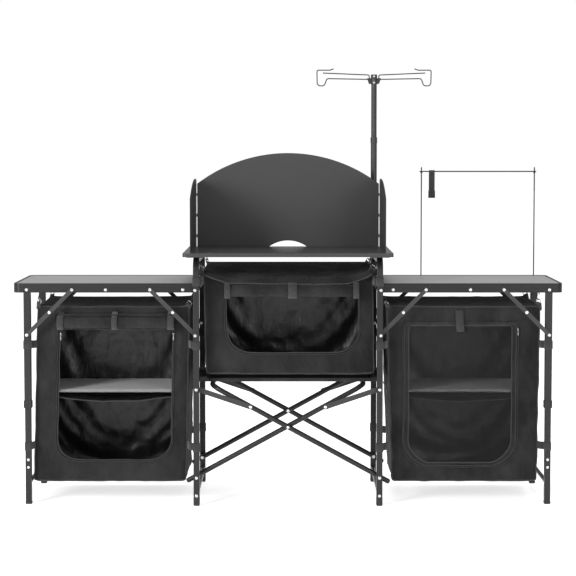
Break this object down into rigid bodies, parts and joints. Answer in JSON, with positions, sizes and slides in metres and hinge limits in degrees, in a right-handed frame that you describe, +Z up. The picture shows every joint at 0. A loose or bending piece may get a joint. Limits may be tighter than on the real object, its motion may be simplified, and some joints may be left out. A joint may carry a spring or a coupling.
{
  "type": "camp kitchen table",
  "caption": "Folding camp kitchen table: crossed centre stand with raised cooktop and windscreen, two folding wings, hanging cloth cupboards, lamp pole and towel rail.",
  "frame": {"origin": "on the floor under the centre of the table's bounding box", "axes": "+X to the right along the worktops, +Y to the rear, +Z up"},
  "size_m": [1.72, 0.475, 1.3867],
  "materials": {
    "frame_coat": "dark grey powder coat over aluminium tube, satin",
    "brace_coat": "dark grey paint, satin",
    "rivet_steel": "bright plated steel",
    "wire_steel": "dark painted steel wire, satin",
    "cap_plastic": "black moulded plastic",
    "rim_extrusion": "dark anodised extrusion with fine lines",
    "board_top": "grey finely embossed worktop face",
    "cooktop_sheet": "dark satin sheet",
    "windscreen_sheet": "matt black sheet",
    "oxford_cloth": "black coated oxford cloth",
    "mesh_door": "black cloth door with a mesh window",
    "shelf_board": "light grey laminated board",
    "pole_coat": "dark grey powder coat, satin",
    "strap_webbing": "black webbing with a plastic clasp",
    "saddle_plastic": "black moulded plastic"
  },
  "bodies": {
    "left_frame": {"left_side_frame": "frame_coat", "left_lower_rail": "frame_coat", "left_frame_feet": "cap_plastic", "left_frame_rivets": "rivet_steel", "centre_cupboard": "oxford_cloth", "centre_door_roll": "oxford_cloth"},
    "right_frame": {"right_side_frame": "frame_coat", "right_lower_rail": "frame_coat", "right_frame_feet": "cap_plastic", "right_frame_rivets": "rivet_steel", "lamp_clamps": "cap_plastic"},
    "arm_inner": {"cross_arm_inner": "frame_coat", "cross_arm_rivets": "rivet_steel"},
    "arm_outer": {"cross_arm_outer": "frame_coat"},
    "left_links": {"left_side_links": "brace_coat"},
    "right_links": {"right_side_links": "brace_coat"},
    "cooktop": {"cooktop_tray": "cooktop_sheet", "cooktop_saddles": "saddle_plastic"},
    "screen_back": {"windscreen_back": "windscreen_sheet", "windscreen_hinge_rings": "rivet_steel"},
    "screen_left": {"windscreen_left": "windscreen_sheet"},
    "screen_right": {"windscreen_right": "windscreen_sheet"},
    "lamp_pole": {"lamp_pole_lower": "pole_coat"},
    "lamp_mast": {"lamp_pole_upper": "pole_coat", "lamp_head_rivets": "rivet_steel"},
    "hook_left": {"lamp_hook_left": "wire_steel"},
    "hook_right": {"lamp_hook_right": "wire_steel"},
    "towel_rail": {"towel_uprights": "wire_steel", "towel_bar": "wire_steel"},
    "towel_clip": {"towel_clip": "strap_webbing"},
    "left_wing": {"left_wing_rim": "rim_extrusion", "left_wing_board": "board_top", "left_wing_rivets": "rivet_steel", "left_cupboard": "oxford_cloth", "left_shelf": "shelf_board", "left_door_roll": "oxford_cloth"},
    "left_leg": {"left_leg_tubes": "frame_coat", "left_leg_rivets": "rivet_steel"},
    "left_foot": {"left_foot_frame": "frame_coat", "left_foot_buttons": "rivet_steel", "left_foot_caps": "cap_plastic"},
    "left_outer_upper": {"left_outer_brace_upper": "brace_coat"},
    "left_outer_lower": {"left_outer_brace_lower": "brace_coat"},
    "left_inner_upper": {"left_inner_brace_upper": "brace_coat"},
    "left_inner_lower": {"left_inner_brace_lower": "brace_coat"},
    "right_wing": {"right_wing_rim": "rim_extrusion", "right_wing_board": "board_top", "right_wing_rivets": "rivet_steel", "right_cupboard": "oxford_cloth", "right_shelf": "shelf_board", "right_door": "mesh_door"},
    "right_leg": {"right_leg_tubes": "frame_coat", "right_leg_rivets": "rivet_steel"},
    "right_foot": {"right_foot_frame": "frame_coat", "right_foot_buttons": "rivet_steel", "right_foot_caps": "cap_plastic"},
    "right_outer_upper": {"right_outer_brace_upper": "brace_coat"},
    "right_outer_lower": {"right_outer_brace_lower": "brace_coat"},
    "right_inner_upper": {"right_inner_brace_upper": "brace_coat"},
    "right_inner_lower": {"right_inner_brace_lower": "brace_coat"}
  },
  "joints": [
    {"name": "centre_fold", "type": "hinge", "parent": "left_frame", "child": "arm_inner", "pos_m": [-0.287, 0, 0.0886], "axis": [0, -1, 0], "range_deg": [0, 43], "deforming": ["centre_cupboard", "centre_door_roll"]},
    {"name": "cross_pivot", "type": "hinge", "parent": "arm_inner", "child": "arm_outer", "pos_m": [0, 0, 0.24578], "axis": [0, -1, 0], "range_deg": [-87, 1]},
    {"name": "right_frame_pivot", "type": "hinge", "parent": "arm_outer", "child": "right_frame", "pos_m": [0.287, 0, 0.0886], "axis": [0, -1, 0], "range_deg": [-1, 44]},
    {"name": "left_link_pivot", "type": "hinge", "parent": "left_frame", "child": "left_links", "pos_m": [-0.287, 0, 0.367], "axis": [0, -1, 0], "range_deg": [-1, 88.73]},
    {"name": "right_link_pivot", "type": "hinge", "parent": "right_frame", "child": "right_links", "pos_m": [0.287, 0, 0.367], "axis": [0, 1, 0], "range_deg": [-1, 88.73]},
    {"name": "left_wing_fold", "type": "hinge", "parent": "left_frame", "child": "left_wing", "pos_m": [-0.29, 0, 0.679], "axis": [0, -1, 0], "range_deg": [0, 40]},
    {"name": "left_leg_fold", "type": "hinge", "parent": "left_wing", "child": "left_leg", "pos_m": [-0.818, 0, 0.679], "axis": [0, -1, 0], "range_deg": [0, 82], "deforming": ["left_cupboard", "left_shelf", "left_door_roll"]},
    {"name": "left_foot_slide", "type": "slide", "parent": "left_leg", "child": "left_foot", "axis": [0, 0, 1], "range_m": [-0.001, 0.187]},
    {"name": "left_outer_upper_pivot", "type": "hinge", "parent": "left_wing", "child": "left_outer_upper", "pos_m": [-0.676, 0, 0.679], "axis": [0, 1, 0], "range_deg": [-1, 44.34]},
    {"name": "left_outer_lower_pivot", "type": "hinge", "parent": "left_leg", "child": "left_outer_lower", "pos_m": [-0.818, 0, 0.537], "axis": [0, -1, 0], "range_deg": [-1, 44.34]},
    {"name": "left_inner_upper_pivot", "type": "hinge", "parent": "left_wing", "child": "left_inner_upper", "pos_m": [-0.432, 0, 0.679], "axis": [0, -1, 0], "range_deg": [-1, 34.3]},
    {"name": "left_inner_lower_pivot", "type": "hinge", "parent": "left_frame", "child": "left_inner_lower", "pos_m": [-0.29, 0, 0.537], "axis": [0, 1, 0], "range_deg": [-1, 34.3]},
    {"name": "right_wing_fold", "type": "hinge", "parent": "right_frame", "child": "right_wing", "pos_m": [0.29, 0, 0.679], "axis": [0, 1, 0], "range_deg": [0, 40]},
    {"name": "right_leg_fold", "type": "hinge", "parent": "right_wing", "child": "right_leg", "pos_m": [0.818, 0, 0.679], "axis": [0, 1, 0], "range_deg": [0, 82], "deforming": ["right_cupboard", "right_shelf", "right_door"]},
    {"name": "right_foot_slide", "type": "slide", "parent": "right_leg", "child": "right_foot", "axis": [0, 0, 1], "range_m": [-0.001, 0.187]},
    {"name": "right_outer_upper_pivot", "type": "hinge", "parent": "right_wing", "child": "right_outer_upper", "pos_m": [0.676, 0, 0.679], "axis": [0, -1, 0], "range_deg": [-1, 44.34]},
    {"name": "right_outer_lower_pivot", "type": "hinge", "parent": "right_leg", "child": "right_outer_lower", "pos_m": [0.818, 0, 0.537], "axis": [0, 1, 0], "range_deg": [-1, 44.34]},
    {"name": "right_inner_upper_pivot", "type": "hinge", "parent": "right_wing", "child": "right_inner_upper", "pos_m": [0.432, 0, 0.679], "axis": [0, 1, 0], "range_deg": [-1, 34.3]},
    {"name": "right_inner_lower_pivot", "type": "hinge", "parent": "right_frame", "child": "right_inner_lower", "pos_m": [0.29, 0, 0.537], "axis": [0, -1, 0], "range_deg": [-1, 34.3]},
    {"name": "cooktop_lift", "type": "slide", "parent": "left_frame", "child": "cooktop", "axis": [0, 0, 1], "range_m": [0, 0.05]},
    {"name": "windscreen_lift", "type": "slide", "parent": "cooktop", "child": "screen_back", "axis": [0, 0, 1], "range_m": [0, 0.04]},
    {"name": "windscreen_left_fold", "type": "hinge", "parent": "screen_back", "child": "screen_left", "pos_m": [-0.3035, 0.141, 0.9], "axis": [0, 0, 1], "range_deg": [-90, 50]},
    {"name": "windscreen_right_fold", "type": "hinge", "parent": "screen_back", "child": "screen_right", "pos_m": [0.3035, 0.141, 0.9], "axis": [0, 0, -1], "range_deg": [-90, 50]},
    {"name": "lamp_pole_slide", "type": "slide", "parent": "right_frame", "child": "lamp_pole", "axis": [0, 0, 1], "range_m": [-0.28, 0]},
    {"name": "lamp_telescope", "type": "slide", "parent": "lamp_pole", "child": "lamp_mast", "axis": [0, 0, 1], "range_m": [-0.17, 0]},
    {"name": "lamp_hook_left_fold", "type": "hinge", "parent": "lamp_mast", "child": "hook_left", "pos_m": [0.271, 0.2237, 1.35], "axis": [0, -1, 0], "range_deg": [0, 75]},
    {"name": "lamp_hook_right_fold", "type": "hinge", "parent": "lamp_mast", "child": "hook_right", "pos_m": [0.303, 0.2237, 1.35], "axis": [0, 1, 0], "range_deg": [0, 75]},
    {"name": "towel_rail_lift", "type": "slide", "parent": "right_wing", "child": "towel_rail", "axis": [0, 0, 1], "range_m": [0, 0.05]},
    {"name": "towel_clip_slide", "type": "slide", "parent": "towel_rail", "child": "towel_clip", "axis": [1, 0, 0], "range_m": [-0.015, 0.32]}
  ],
  "couplings": [
    {"joint": "cross_pivot", "follows": "centre_fold", "ratio": -2},
    {"joint": "right_frame_pivot", "follows": "centre_fold", "ratio": 1},
    {"joint": "left_link_pivot", "follows": "centre_fold", "ratio": 2.0403},
    {"joint": "right_link_pivot", "follows": "centre_fold", "ratio": 2.0403},
    {"joint": "left_foot_slide", "follows": "left_leg_fold", "m_per_rad": 0.12926},
    {"joint": "left_outer_upper_pivot", "follows": "left_leg_fold", "ratio": 0.5285},
    {"joint": "left_outer_lower_pivot", "follows": "left_leg_fold", "ratio": 0.5285},
    {"joint": "left_inner_upper_pivot", "follows": "left_wing_fold", "ratio": 0.8324},
    {"joint": "left_inner_lower_pivot", "follows": "left_wing_fold", "ratio": 0.8324},
    {"joint": "right_foot_slide", "follows": "right_leg_fold", "m_per_rad": 0.12926},
    {"joint": "right_outer_upper_pivot", "follows": "right_leg_fold", "ratio": 0.5285},
    {"joint": "right_outer_lower_pivot", "follows": "right_leg_fold", "ratio": 0.5285},
    {"joint": "right_inner_upper_pivot", "follows": "right_wing_fold", "ratio": 0.8324},
    {"joint": "right_inner_lower_pivot", "follows": "right_wing_fold", "ratio": 0.8324}
  ]
}
